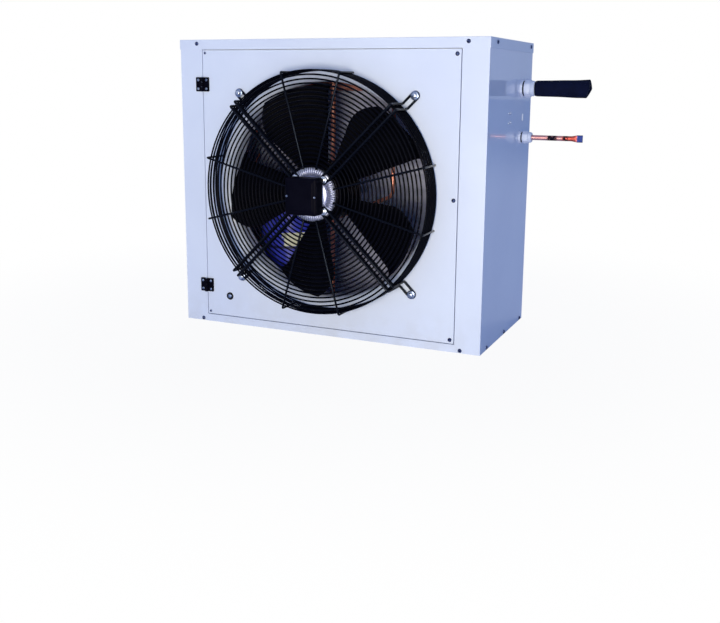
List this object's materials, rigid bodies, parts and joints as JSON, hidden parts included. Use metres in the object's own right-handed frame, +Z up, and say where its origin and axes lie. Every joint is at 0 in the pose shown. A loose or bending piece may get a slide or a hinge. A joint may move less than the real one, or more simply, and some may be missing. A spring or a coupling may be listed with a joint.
{
  "type": "refrigeration condensing unit",
  "caption": "Sheet-steel condensing unit: hinged door carries an axial fan behind a wire guard; compressor, receiver, coil and pipe stubs.",
  "frame": {"origin": "middle of the casing's underside, on the surface that it stands on", "axes": "+Z up, +X to the right seen from the fan side, where the pipe stubs leave, +Y to the rear, towards the coil"},
  "size_m": [0.9494, 0.4985, 0.7],
  "materials": {
    "casing_paint": "gloss",
    "zinc_steel": "satin",
    "black_wire": "satin",
    "black_paint": "satin",
    "black_plastic": "matte",
    "grey_plastic": "satin",
    "soft_rubber": "matte",
    "coil_aluminium": "satin",
    "galvanised_steel": "satin",
    "compressor_paint": "gloss",
    "copper": "satin",
    "brass": "satin",
    "drier_paint": "gloss"
  },
  "bodies": {
    "casing": {"base_pan": "casing_paint", "front_frame": "casing_paint", "left_side_panel": "casing_paint", "right_side_panel": "casing_paint", "roof_panel": "casing_paint", "roof_screws": "zinc_steel", "base_screws": "zinc_steel", "door_seal": "soft_rubber", "hinge_frame_leaves": "black_plastic", "hinge_pins": "zinc_steel", "coil_fin_pack": "coil_aluminium", "coil_end_plates": "galvanised_steel", "coil_return_bends": "copper", "compressor_lower_shell": "compressor_paint", "compressor_upper_shell": "compressor_paint", "compressor_core": "galvanised_steel", "compressor_foot_plate": "galvanised_steel", "compressor_grommets": "soft_rubber", "compressor_bolts": "zinc_steel", "compressor_terminal_cover": "black_plastic", "receiver": "black_paint", "receiver_saddles": "galvanised_steel", "receiver_valve": "brass", "filter_drier": "drier_paint", "sight_glass": "brass", "suction_line": "copper", "suction_insulation": "soft_rubber", "discharge_line": "copper", "drop_line": "copper", "liquid_line_lower": "copper", "liquid_line_upper": "copper", "gland_bodies": "grey_plastic", "gland_nuts": "grey_plastic", "gland_seals": "soft_rubber", "gland_locknuts": "grey_plastic", "electrical_box": "grey_plastic", "electrical_cover": "grey_plastic", "pressure_switch_bracket": "galvanised_steel", "pressure_switch": "galvanised_steel", "panel_rivets": "zinc_steel", "side_plug": "grey_plastic"},
    "door": {"door_panel": "casing_paint", "door_screws": "zinc_steel", "door_rivets": "zinc_steel", "blind_plug": "zinc_steel", "hinge_door_leaves": "black_plastic", "guard_front_rings": "black_wire", "guard_side_rings": "black_wire", "guard_spokes": "black_wire", "guard_arms": "black_wire", "guard_washers": "zinc_steel", "guard_bolts": "zinc_steel", "motor_stator": "coil_aluminium", "motor_bolts": "zinc_steel", "motor_terminal_box": "black_plastic", "motor_terminal_cover": "black_plastic"},
    "fan": {"rotor": "black_paint", "impeller": "black_paint"}
  },
  "joints": [
    {"name": "door_hinge", "type": "hinge", "parent": "casing", "child": "door", "pos_m": [-0.3285, -0.1941, 0.35], "axis": [0, 0, -1], "range_deg": [0, 110]},
    {"name": "fan_spin", "type": "hinge", "parent": "door", "child": "fan", "pos_m": [0, -0.1885, 0.35], "axis": [0, -1, 0], "continuous": true}
  ]
}
